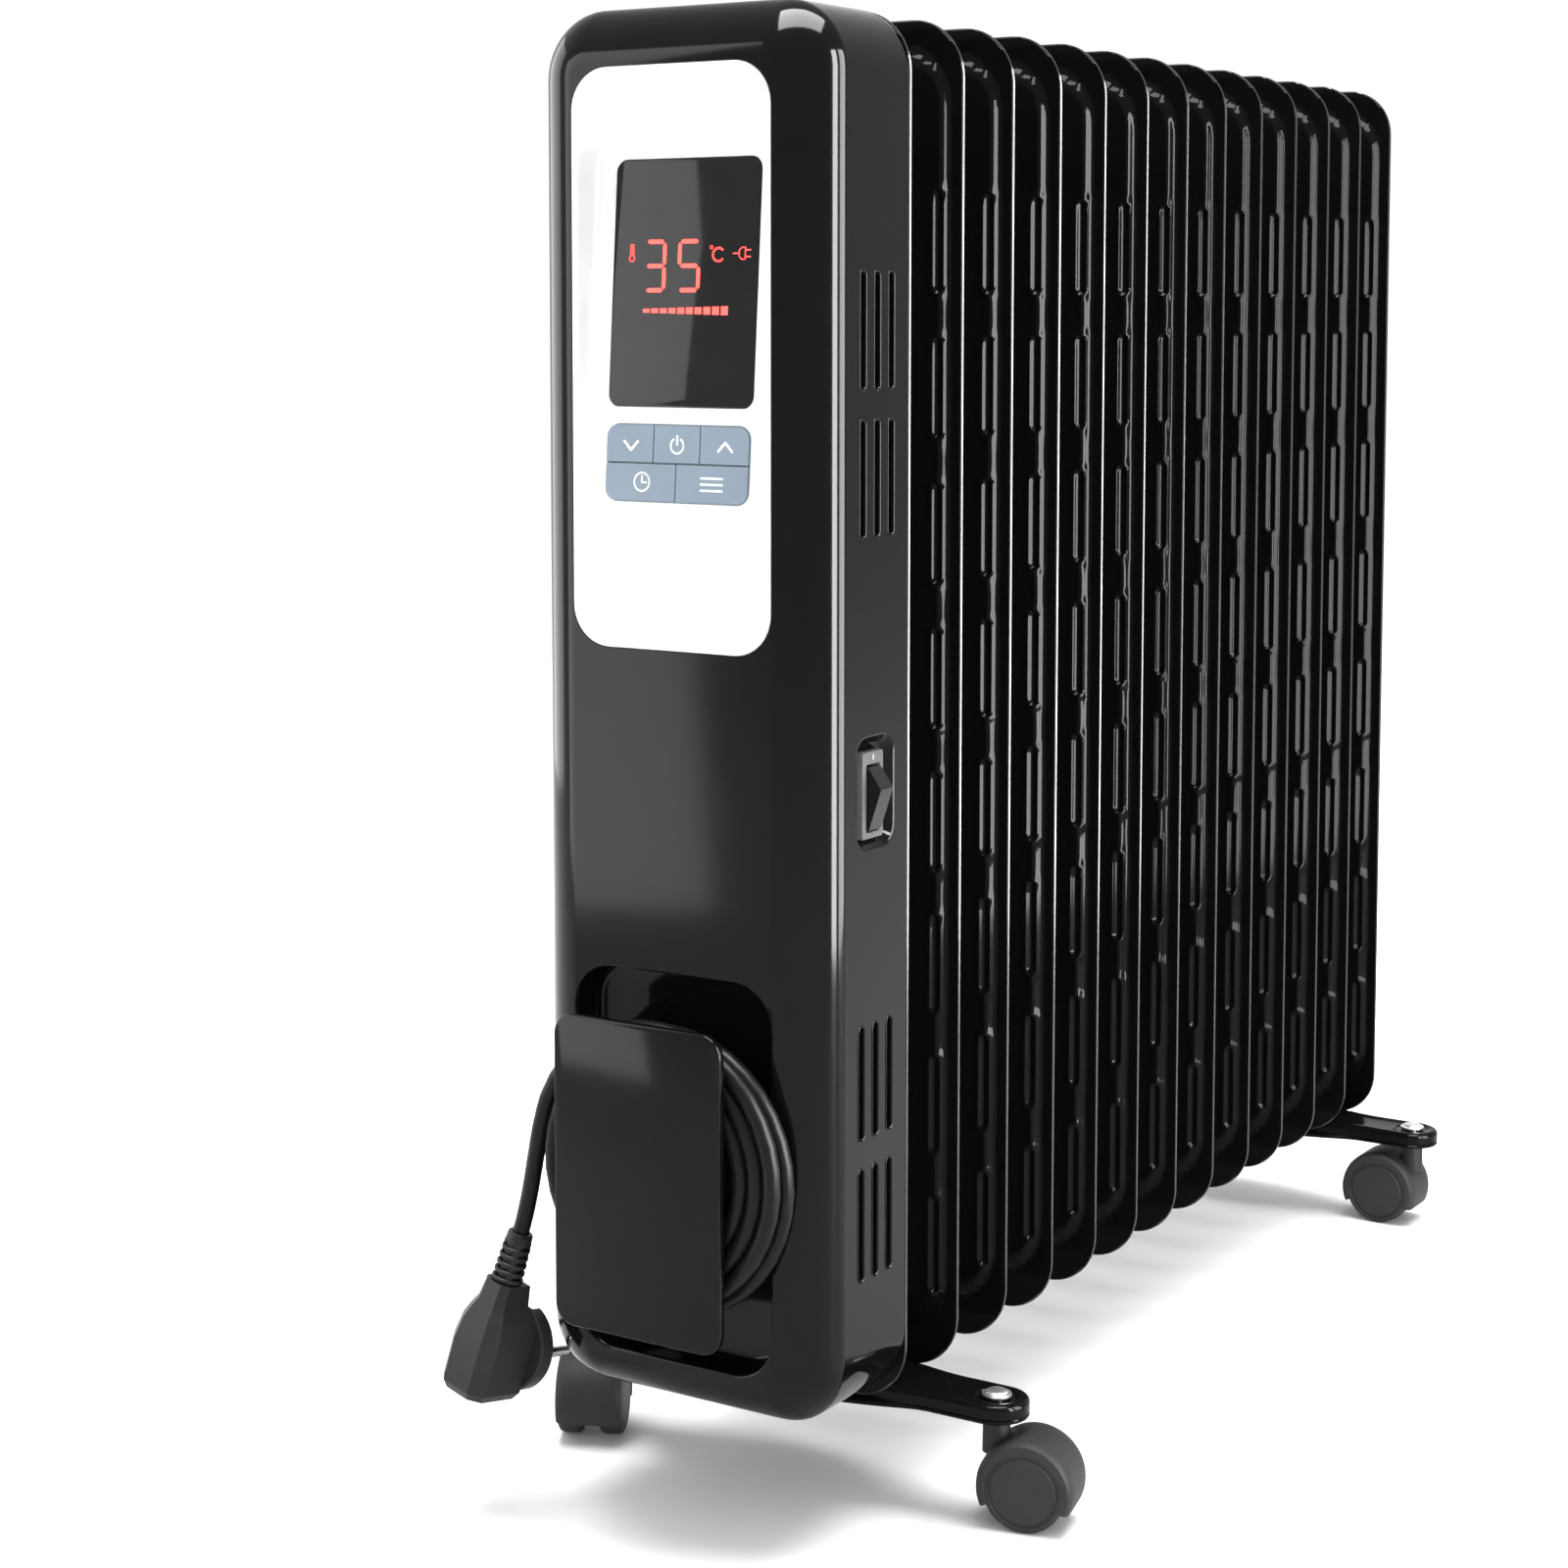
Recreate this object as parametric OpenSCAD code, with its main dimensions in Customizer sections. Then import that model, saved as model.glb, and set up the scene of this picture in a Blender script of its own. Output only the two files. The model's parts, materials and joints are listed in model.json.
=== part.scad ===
// Oil filled radiator heater on four twin-wheel casters, with a control housing and a cord winder.
// X runs across the heater, Y along it with the housing at -Y, and Z up from the floor.

/* [Radiator] */
// Width of a fin across its seam
fin_w = 140; // [136:1:146]
// Height of a fin
fin_h = 560; // [550:1:570]
// Distance from one fin's seam to the next
fin_pitch = 42.5; // [42:0.5:43.5]
// Height of the fins' lowest edge above the floor
fin_lift = 47.5; // [47.5:0.1:48]
// Outside radius of the collars that join the fins
collar_r = 22; // [21:0.5:23]

/* [Housing] */
// Width of the control housing
housing_w = 139; // [137:1:141]
// Height of the control housing
housing_h = 557; // [552:1:558]
// Distance from the first fin's seam to the front of the housing
housing_reach = 65.5; // [64:0.5:67]
// Wall thickness of the housing
housing_wall = 2.6; // [2.2:0.1:3]
// Width of the switch rocker
rocker_w = 9.2; // [8.8:0.1:9.4]

/* [Control panel] */
// Lean of the display's face from the vertical
face_tilt = 4.1; // [3:0.1:5]
// Width of the display glass
glass_w = 68.4; // [66:0.1:70]
// Travel of each key
key_travel = 0.8; // [0.5:0.1:1]

/* [Cord] */
// Diameter of the mains cord
cord_d = 7; // [6.5:0.1:7.5]
// Mean radius of the wound cord
coil_r = 48.5; // [47:0.5:49]
// Distance between neighbouring turns
turn_pitch = 8.5; // [8:0.1:8.5]

/* [Casters] */
// Diameter of a wheel
wheel_d = 34.5; // [33:0.5:35]
// Distance from the swivel axis to the wheel axle
caster_trail = 14.5; // [13:0.5:15]
// Distance from the middle to a swivel axis across the heater
caster_x = 100; // [98:1:102]

/* [Hidden] */
$fn = 64;

fin_count = 13;
first_fin_y = -216.5;
flange_t = 1.6;
sheet_t = 0.8;
pillow_half = 8.5;
pillow_side = 9;
pillow_top = 14;
pillow_bottom = 20;
collar_z = [fin_lift + 62, fin_lift + fin_h - 62];

front_y = first_fin_y - housing_reach;
housing_z = 51.5 + housing_h / 2;
housing_back = first_fin_y - flange_t / 2 - 0.3;
// How far the housing's outline draws in, and how far behind the front that happens
crown = [[0, 18], [0.9, 13.6], [3, 10], [6.5, 7], [11, 4.2], [16.5, 1.8], [23, 0]];
panel_w = 93.4;
panel_z = [357, 585];
recess_w = 93;
recess_z = [72.5, 228.5];
recess_floor = front_y + 14;
slot_y = [-251.8, -241.2, -230.6];
slot_z = [482.4, 425.2, 187.9, 130.9];
face_y = front_y + 8;
face_z = 465;
pad_z = [-49.8, -19.8];
pad_w = 67;
key_gap = 0.5;
switch_y = -241.8;
switch_z = 301.2;
switch_floor = housing_w / 2 - 4.5;
rocker_at = [switch_floor + 1, switch_y, 300];
rocker_pin_r = 1.5;
shield_y = first_fin_y - 11.1;
shield_t = 1.2;
winder_front = front_y - 25;
winder_t = 3.5;
coil_x = 3;
coil_z = 154.5;
coil_front = winder_front + winder_t + 3;
coil_back = coil_front + 2 * cord_d + 0.5;
plug_at = [-80.5, -299.5, 67.2];
plug_turn = [-11, 12.5, -8];
bracket_y = [first_fin_y + fin_pitch / 2, first_fin_y + fin_pitch * 11.5];
bracket_top = 51;
bracket_t = 2.2;
bracket_low = 43;
bolt_r = 2.9;
bolt_x = collar_r + bolt_r + 0.4;
stem_r = 3;
axle_r = 2.5;
hood_r = 20.3;
wheel_r = wheel_d / 2;
// The places of the casters, each with the way that it trails
casters = [
  [caster_x, bracket_y[0], 13], [-caster_x, bracket_y[0], -63],
  [caster_x, bracket_y[1], 180], [-caster_x, bracket_y[1], 167]
];
// The cord's ways from the gland to the winding and from the winding to the plug
lead_route = [[-30, -272, 84], [-24, -276, 84], [-14, -283, 86], [0, -288, 91], [14, -289.5, 98]];
tail_route = [
  [-51.8, -297, 170.2], [-54.2, -296.6, 162.3], [-56.6, -295.5, 154.5], [-59.2, -294, 146.6],
  [-61.7, -292.6, 138.8], [-64.2, -291.5, 131], [-66.7, -291, 122.6], [-68.9, -291.7, 114.2],
  [-69.7, -292.2, 110.8]
];

// ---- Helpers ----

module rounded(w, h, r) {
  square([w - 2 * r, h], center = true);
  square([w, h - 2 * r], center = true);
  for (x = [-1, 1], y = [-1, 1]) translate([x * (w / 2 - r), y * (h / 2 - r)]) circle(r);
}

// A rounded plate that stands across the heater, from y0 to y1, about the height zc
module plate(w, h, r, y0, y1, zc, xc = 0)
  translate([xc, y1, zc]) rotate([90, 0, 0]) linear_extrude(y1 - y0) rounded(w, h, r);

// A rounded plate between two heights
module plate_z(w, z, r, y0, y1) plate(w, z[1] - z[0], r, y0, y1, (z[0] + z[1]) / 2);

// A round bar along Y
module bar_y(r, y0, y1, x = 0, z = 0) translate([x, y1, z]) rotate([90, 0, 0]) cylinder(r = r, h = y1 - y0);

// A frame on the display's face: local -Y comes out of it
module on_face() translate([0, face_y, face_z]) rotate([-face_tilt, 0, 0]) children();

// ---- Fins ----

function fin_y(i) = first_fin_y + i * fin_pitch;

module pillow(i, inset) {
  h = fin_h - pillow_top - pillow_bottom - 2 * inset;
  plate(fin_w - 2 * pillow_side - 2 * inset, h, 16 - inset, fin_y(i) - pillow_half + inset,
    fin_y(i) + pillow_half - inset, fin_lift + pillow_bottom + inset + h / 2);
}

// The collars of fin i, as bars of radius r: half of each gap, and a stub for the heating element
module collars(i, r, grow) {
  for (z = collar_z) {
    if (i > 0) bar_y(r, fin_y(i) - fin_pitch / 2 - grow, fin_y(i), 0, z);
    if (i < fin_count - 1) bar_y(r, fin_y(i), fin_y(i) + fin_pitch / 2 + grow, 0, z);
  }
  if (i == 0) bar_y(r, fin_y(0) - pillow_half - 3 - grow, fin_y(0), 0, collar_z[0]);
}

module fin(i) color([0.02, 0.02, 0.02])
  difference() {
    union() {
      plate(fin_w, fin_h, 24, fin_y(i) - flange_t / 2, fin_y(i) + flange_t / 2, fin_lift + fin_h / 2);
      pillow(i, 0);
      collars(i, collar_r, 0);
    }
    pillow(i, sheet_t);
    collars(i, collar_r - 2, 1);
  }

// ---- Housing ----

module housing_form(inset) hull()
  for (step = crown) translate([0, front_y + step[1] + inset, 0])
    plate(housing_w - 2 * (step[0] + inset), housing_h - 2 * (step[0] + inset),
      27 - step[0] * 0.45 - inset, 0, step[1] == 18 ? housing_back - front_y - 18 : 0.1, housing_z,
      $fn = 32);

// A dish with sloping sides in the right wall, which holds the switch
module switch_dish(grow) translate([switch_floor, switch_y, switch_z + 1.3]) rotate([0, 90, 0])
  hull() {
    translate([0, 0, -grow]) linear_extrude(0.1) rounded(37 + 2 * grow, 21 + 2 * grow, 5, $fn = 32);
    translate([0, 0, 4.5]) linear_extrude(0.1) rounded(44 + 2 * grow, 28.4 + 2 * grow, 8, $fn = 32);
  }

module vent_slots() for (y = slot_y, z = slot_z) translate([-housing_w, y, z]) rotate([0, 90, 0])
  linear_extrude(2 * housing_w) rounded(45, 3.6, 1.79);

module front_housing() color([0.02, 0.02, 0.02])
  difference() {
    union() {
      difference() {
        housing_form(0);
        translate([0, 0.05, 0]) housing_form(housing_wall);
        plate(housing_w - 2 * housing_wall, housing_h - 2 * housing_wall, 24, housing_back - 20,
          housing_back + 1, housing_z);
      }
      plate_z(recess_w + 5, [recess_z[0] - 2.5, recess_z[1] + 2.5], 19, front_y + 1, recess_floor + 2.5);
      intersection() {
        switch_dish(2.2);
        translate([0, front_y, 200]) cube([housing_w / 2 - 0.01, 100, 200]);
      }
    }
    plate_z(recess_w, recess_z, 17, front_y - 5, recess_floor);
    plate_z(panel_w + 0.6, [panel_z[0] - 0.3, panel_z[1] + 0.3], 17, front_y - 5, front_y + 12);
    switch_dish(0);
    translate([switch_floor - 8, switch_y - 6.6, rocker_at[2] - 14.7]) cube([9, 13.2, 29.4]);
    vent_slots();
    bar_y(5.2, recess_floor - 1, recess_floor + 4, -34, 84);
    for (z = [110, 200]) bar_y(2.2, recess_floor - 1, recess_floor + 4, 0, z);
  }

module heat_shield() color("silver")
  difference() {
    plate(housing_w - 2 * housing_wall - 0.6, housing_h - 2 * housing_wall - 0.6, 23.5,
      shield_y, shield_y + shield_t, housing_z);
    bar_y(28, shield_y - 1, shield_y + 5, 0, collar_z[0]);
    translate([switch_floor - 3.5, shield_y - 1, switch_z - 26]) cube([20, 5, 54]);
  }

module control_panel() color("white")
  difference() {
    plate_z(panel_w, panel_z, 16.7, front_y - 0.3, front_y + 17.5);
    on_face() plate_z(87, [-104, 104], 14, -30, 0);
    on_face() plate_z(88, [-112, 112], 12, 2.6, 40);
    on_face() plate_z(glass_w + 0.4, [-12.8, 84.6], 5, -1, 1.2);
    on_face() plate_z(60, [-8, 80], 3, -1, 5);
    on_face() plate_z(pad_w + 0.6, [pad_z[0] - 0.3, pad_z[1] + 0.3], 5.3, -1, 5);
  }

module display_window() color([0.12, 0.12, 0.13])
  on_face() plate_z(glass_w, [-12.6, 84.4], 4.8, -0.4, 1.2);

module display_board() color("darkgreen")
  on_face() {
    plate_z(74, [-56, 90], 2, 4, 5.6);
    plate_z(56, [-4, 76], 2, 1.5, 4);
    for (x = [-30, 30], z = [-53.5, 87.5]) bar_y(2, 2.6, 4, x, z);
    for (x = [-22, 0, 22]) plate(6, 6, 1, 3, 4, -27, x);
    for (x = [-17, 17]) plate(6, 6, 1, 3, 4, -42.5, x);
  }

// One key of the pad, between x0 and x1 and the heights z0 and z1
module key(x0, x1, z0, z1) color([0.66, 0.72, 0.78])
  on_face() intersection() {
    plate_z(pad_w, pad_z, 5, -key_travel - 0.4, 2);
    translate([x0 + key_gap / 2, -5, z0 + key_gap / 2])
      cube([x1 - x0 - key_gap, 10, z1 - z0 - key_gap]);
  }

module top_key(i) key(-40 + [0, 29, 51][i], -40 + [29, 51, 80][i], -34.8, 0);

module low_key(i) key(i ? 0 : -40, i ? 40 : 0, -70, -34.8);

// ---- Mains switch, on the right wall ----

module switch_body() color([0.25, 0.25, 0.26])
  difference() {
    union() {
      translate([switch_floor, switch_y, switch_z]) rotate([0, 90, 0]) linear_extrude(3.5)
        rounded(34.4, 15.7, 1);
      translate([switch_floor - 11, switch_y, rocker_at[2]]) rotate([0, 90, 0]) linear_extrude(11.5)
        rounded(29, 13, 0.6);
    }
    translate([switch_floor - 8, switch_y, rocker_at[2]]) rotate([0, 90, 0]) linear_extrude(20)
      rounded(26.6, rocker_w + 0.6, 0.4);
    translate([rocker_at[0], 0, rocker_at[2]])
      bar_y(rocker_pin_r + 0.05, switch_y - 6.4, switch_y + 6.4);
  }

module switch_rocker() color([0.1, 0.1, 0.1])
  translate(rocker_at) {
    rotate([90, 0, 0]) translate([0, 0, -rocker_w / 2]) linear_extrude(rocker_w)
      polygon([[2.7, 12.5], [9, 4], [3, -12.8], [-2, -11.5], [-3, 0], [-2, 11.5]]);
    bar_y(rocker_pin_r, -6.2, 6.2);
  }

// ---- Cord winder, cord and plug ----

module cord_winder() color([0.02, 0.02, 0.02])
  difference() {
    union() {
      plate_z(79, [88, 214], 9, winder_front, winder_front + winder_t);
      bar_y(30, winder_front + 1, recess_floor, 0, coil_z);
    }
    bar_y(27, winder_front + winder_t, recess_floor + 1, 0, coil_z);
  }

module cord_gland() color("black")
  translate([-34, recess_floor, 84]) difference() {
    union() {
      bar_y(5, -1, 5.5);
      bar_y(7.5, 2.6, 5.5);
      rotate([90, 0, 31]) cylinder(r1 = 5.6, r2 = 4.6, h = 6);
    }
    bar_y(2, 1, 7);
  }

module cord_coil() color([0.03, 0.03, 0.03])
  translate([coil_x, 0, coil_z]) rotate([90, 0, 0]) rotate_extrude()
    translate([coil_r, -(coil_front + coil_back) / 2])
      rounded(2 * turn_pitch + cord_d, coil_back - coil_front, 3.4);

// A smooth curve through a list of points
function through(p, k, t) =
  let (a = p[max(k - 1, 0)], b = p[k], c = p[k + 1], d = p[min(k + 2, len(p) - 1)])
  0.5 * (2 * b + (c - a) * t + (2 * a - 5 * b + 4 * c - d) * t * t + (3 * b - a - 3 * c + d) * t * t * t);

function unit(v) = v / norm(v);

// A tube of diameter d along a route, with a ring at each fraction of a stretch
module tube(route, d, per = 1, sides = 10) {
  last = (len(route) - 1) * per;
  path = [
    for (i = [0 : last]) let (k = min(floor(i / per), len(route) - 2)) through(route, k, i / per - k)
  ];
  points = [
    for (i = [0 : last])
      let (along = unit(path[min(i + 1, last)] - path[max(i - 1, 0)]),
        side = unit(cross(along, [0, 1, 0])), up = cross(side, along))
      for (s = [0 : sides - 1])
        path[i] + d / 2 * (cos(360 * s / sides) * side + sin(360 * s / sides) * up)
  ];
  walls = [
    for (i = [0 : last - 1], s = [0 : sides - 1])
      let (a = i * sides + s, b = i * sides + (s + 1) % sides)
      [a, b, b + sides, a + sides]
  ];
  polyhedron(points, concat([[for (s = [sides - 1 : -1 : 0]) s]],
    [[for (s = [0 : sides - 1]) last * sides + s]], walls), convexity = 4);
}

module cord_lead() color([0.03, 0.03, 0.03]) tube(lead_route, cord_d);

module cord_tail() color([0.03, 0.03, 0.03]) tube(tail_route, cord_d);

module on_plug() translate(plug_at) rotate(plug_turn) children();

module plug_body() color([0.08, 0.08, 0.08])
  on_plug() {
    bar_y(18.5, 14, 21);
    plate(25, 40, 11, -13, 16, 0);
    translate([0, 0, 18]) cylinder(r = 7, h = 12);
    translate([0, 0, 29]) cylinder(r1 = 7, r2 = 5.2, h = 20);
  }

module plug_pins() color("silver")
  on_plug() for (x = [-9.5, 9.5]) bar_y(2.4, 21, 40, x);

// ---- Inside ----

module heating_element() color("silver") {
  bar_y(21, first_fin_y - 15, first_fin_y - pillow_half - 3, 0, collar_z[0]);
  for (x = [-9, 9]) {
    bar_y(4, first_fin_y - 15, fin_y(12) - 12, x, collar_z[0]);
    bar_y(2, first_fin_y - 24, first_fin_y - 15, x, collar_z[0]);
  }
  translate([0, fin_y(12) - 12, collar_z[0]]) rotate_extrude(angle = 180) translate([9, 0]) circle(4);
}

module power_board() color("darkgreen") {
  plate(90, 90, 3, -246, -244.4, 290);
  plate(24, 20, 1, -258, -246, 305, -20);
  plate(20, 24, 1, -256, -246, 275, 20);
  for (x = [-40, 40], z = [250, 330]) bar_y(3, -244.4, shield_y, x, z);
}

module tilt_switch() color("gray") plate(24, 34, 3, -244, shield_y, 218);

// A disc thermostat on the heat shield, with its two tabs
module thermal_cutout() color("gray") {
  bar_y(8, shield_y - 7, shield_y, 30, 160);
  for (z = [156, 164]) plate(6, 0.8, 0.2, shield_y - 15, shield_y - 7, z, 30);
}

module oil_plug() color("silver")
  translate([0, fin_y(12) + pillow_half, collar_z[1]]) rotate([-90, 0, 0]) {
    cylinder(r = 9, h = 1.5);
    translate([0, 0, 1.5]) cylinder(r = 6.5, h = 3.5, $fn = 6);
  }

// ---- Brackets ----

// The outline of a bracket's raised arm, from tip to tip
module arm_outline(grow) {
  square([2 * caster_x, 27 + 2 * grow], center = true);
  square([116 + 2 * grow, 34 + 2 * grow], center = true);
  for (x = [-1, 1]) translate([x * caster_x, 0]) circle(13.5 + grow);
}

module bracket(k) color([0.05, 0.05, 0.05])
  translate([0, bracket_y[k], 0]) difference() {
    union() {
      translate([0, 0, bracket_low]) linear_extrude(bracket_top - bracket_low) arm_outline(0);
      translate([0, 0, bracket_low]) linear_extrude(bracket_t)
        intersection() {
          translate([0, -150]) circle(178);
          translate([0, 150]) circle(178);
          square([180, 60], center = true);
        }
    }
    translate([0, 0, bracket_low - 1]) linear_extrude(bracket_top - bracket_low + 1 - bracket_t)
      arm_outline(-bracket_t);
    for (x = [-1, 1]) {
      translate([x * caster_x, 0, 0]) cylinder(r = stem_r, h = 60);
      translate([x * bolt_x, 0, 0]) cylinder(r = bolt_r + 0.2, h = 60);
    }
  }

// The U-bolts over the end collars, and the wing nuts under the brackets
module bracket_fasteners() color("silver")
  for (y = bracket_y) {
    translate([0, y, collar_z[0]]) rotate([90, 0, 0]) {
      rotate_extrude(angle = 180) translate([bolt_x, 0]) circle(bolt_r);
      for (x = [-1, 1]) translate([x * bolt_x, 0, 0]) rotate([90, 0, 0])
        cylinder(r = bolt_r, h = collar_z[0] - 36);
    }
    for (x = [-1, 1]) translate([x * bolt_x, y, bracket_top - bracket_t]) rotate([180, 0, 0])
      difference() {
        union() {
          cylinder(r = 6, h = 7);
          translate([-1.2, -11, 2]) cube([2.4, 22, 5]);
        }
        translate([0, 0, -1]) cylinder(r = bolt_r + 0.1, h = 10);
      }
  }

// ---- Casters: built about the swivel axis, trailing along +X ----

module at_caster(k) translate([casters[k][0], casters[k][1], 0]) rotate([0, 0, casters[k][2]]) children();

module at_axle(k) at_caster(k) translate([caster_trail, 0, wheel_r]) children();

module stem(k) color("silver") at_caster(k) {
  translate([0, 0, 32]) cylinder(r = stem_r, h = 21);
  translate([0, 0, bracket_top]) cylinder(r = 6, h = 2.4);
}

module hood(k) color([0.12, 0.12, 0.12]) {
  at_caster(k) difference() {
    translate([0, 0, 30]) cylinder(r = 5.6, h = 12.5);
    translate([0, 0, 31.8]) cylinder(r = stem_r + 0.05, h = 12);
    translate([caster_trail, -20, wheel_r]) rotate([-90, 0, 0]) cylinder(r = 18.5, h = 40);
  }
  at_axle(k) difference() {
    union() {
      bar_y(hood_r, -14.5, 14.5);
      translate([-caster_trail, 0, 13]) cylinder(r = 3, h = 5);
    }
    bar_y(18.5, 3, 15);
    bar_y(18.5, -15, -3);
    bar_y(axle_r, -20, 20);
    translate([-30, -20, -40]) cube([60, 40, 32]);
    translate([-caster_trail, 0, 14.55]) cylinder(r = stem_r + 0.05, h = 12);
  }
}

module axle(k) color("silver") at_axle(k) bar_y(axle_r, -13, 13);

module wheel(k, side) color([0.15, 0.15, 0.15])
  at_axle(k) scale([1, side, 1]) difference() {
    union() {
      bar_y(wheel_r - 0.8, 3.4, 14.3);
      bar_y(wheel_r, 4.2, 13.5);
    }
    bar_y(axle_r + 0.05, 0, 13.2);
  }

// ---- The whole heater ----

fin(0);  // fin_01
fin(1);  // fin_02
fin(2);  // fin_03
fin(3);  // fin_04
fin(4);  // fin_05
fin(5);  // fin_06
fin(6);  // fin_07
fin(7);  // fin_08
fin(8);  // fin_09
fin(9);  // fin_10
fin(10);  // fin_11
fin(11);  // fin_12
fin(12);  // fin_13
front_housing();
heat_shield();
control_panel();
display_window();
display_board();
top_key(0);  // key_down
top_key(1);  // key_power
top_key(2);  // key_up
low_key(0);  // key_timer
low_key(1);  // key_mode
switch_body();
switch_rocker();
cord_winder();
cord_gland();
cord_lead();
cord_coil();
cord_tail();
plug_body();
plug_pins();
heating_element();
power_board();
tilt_switch();
bracket(0);  // bracket_front
bracket(1);  // bracket_rear
bracket_fasteners();
thermal_cutout();
oil_plug();
stem(0);  // stem_front_right
hood(0);  // hood_front_right
axle(0);  // axle_front_right
wheel(0, -1);  // wheel_a_front_right
wheel(0, 1);  // wheel_b_front_right
stem(1);  // stem_front_left
hood(1);  // hood_front_left
axle(1);  // axle_front_left
wheel(1, -1);  // wheel_a_front_left
wheel(1, 1);  // wheel_b_front_left
stem(2);  // stem_rear_right
hood(2);  // hood_rear_right
axle(2);  // axle_rear_right
wheel(2, -1);  // wheel_a_rear_right
wheel(2, 1);  // wheel_b_rear_right
stem(3);  // stem_rear_left
hood(3);  // hood_rear_left
axle(3);  // axle_rear_left
wheel(3, -1);  // wheel_a_rear_left
wheel(3, 1);  // wheel_b_rear_left
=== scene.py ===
import json
import math
import bpy
import bmesh
from mathutils import Euler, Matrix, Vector


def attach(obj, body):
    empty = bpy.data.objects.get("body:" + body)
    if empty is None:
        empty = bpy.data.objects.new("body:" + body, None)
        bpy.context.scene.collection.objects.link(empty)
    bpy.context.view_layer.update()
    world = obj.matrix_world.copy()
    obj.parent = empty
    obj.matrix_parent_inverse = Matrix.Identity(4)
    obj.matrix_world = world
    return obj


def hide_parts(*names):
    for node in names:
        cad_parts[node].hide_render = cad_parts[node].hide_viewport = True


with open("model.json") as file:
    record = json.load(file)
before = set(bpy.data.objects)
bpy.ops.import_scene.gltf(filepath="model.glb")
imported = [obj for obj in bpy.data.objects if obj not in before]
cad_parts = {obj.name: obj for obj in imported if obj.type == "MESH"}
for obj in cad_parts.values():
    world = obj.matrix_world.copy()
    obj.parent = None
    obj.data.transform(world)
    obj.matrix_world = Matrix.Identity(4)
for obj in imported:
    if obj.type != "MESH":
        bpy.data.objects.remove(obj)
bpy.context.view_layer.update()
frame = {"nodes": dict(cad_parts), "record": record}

MM = 0.001

# Driving sizes, in millimetres, in the frame of the CAD model
FIN_COUNT, FIN_PITCH, FIRST_FIN_Y = 13, 42.5, -216.5
FIN_W, FIN_H, FIN_LOW, FIN_CORNER = 140, 560, 47.5, 24
COLLAR_Z = (109.5, 545.5)
FRONT_Y, BACK_Y = -282, -217.6
HOUSING_W, HOUSING_Z0, HOUSING_Z1, HOUSING_CORNER = 139, 51.5, 608.5, 27
CROWN_IN, CROWN_DEEP, CROWN_POWER = 23, 18, 1.6
SWITCH_FLOOR, SWITCH_Y, SWITCH_Z = 65, -241.8, 301.2
ROCKER_X, ROCKER_Z = 66, 300
FACE_TILT, FACE_Y, FACE_Z = math.radians(4.1), -274, 465
RECESS_FLOOR = -268
WINDER_FRONT = -307
CORD_D = 7
COIL_CENTRE = (3, 154.5)
PLUG_AT = Vector((-80.5, -299.5, 67.2))
PLUG_TURN = Euler([math.radians(v) for v in (-11, 12.5, -8)]).to_matrix()
BRACKET_Y = (-195.25, 272.25)
CASTER_TRAIL, WHEEL_R = 14.5, 17.25
CASTERS = {
    "front_right": (100, BRACKET_Y[0], 13), "front_left": (-100, BRACKET_Y[0], -63),
    "rear_right": (100, BRACKET_Y[1], 180), "rear_left": (-100, BRACKET_Y[1], 167),
}


# ---- Camera ----

def make_camera():
    """A slightly pitched camera with a small shift stands in for a level one with a large shift."""
    data = bpy.data.cameras.new("camera")
    data.sensor_width, data.lens, data.shift_y = 36, 67.84, -0.14
    data.clip_start, data.clip_end = 0.05, 50
    camera = bpy.data.objects.new("camera", data)
    bpy.context.collection.objects.link(camera)
    camera.location = Vector((656.7, -1224.8, 490.4)) * MM
    pitch_down, azimuth = 4.93, 32.64
    camera.rotation_euler = (math.radians(90 - pitch_down), 0, math.radians(azimuth))
    bpy.context.scene.camera = camera


make_camera()


# ---- Materials: each has a colour, a roughness and a relief that vary over the surface ----

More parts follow.
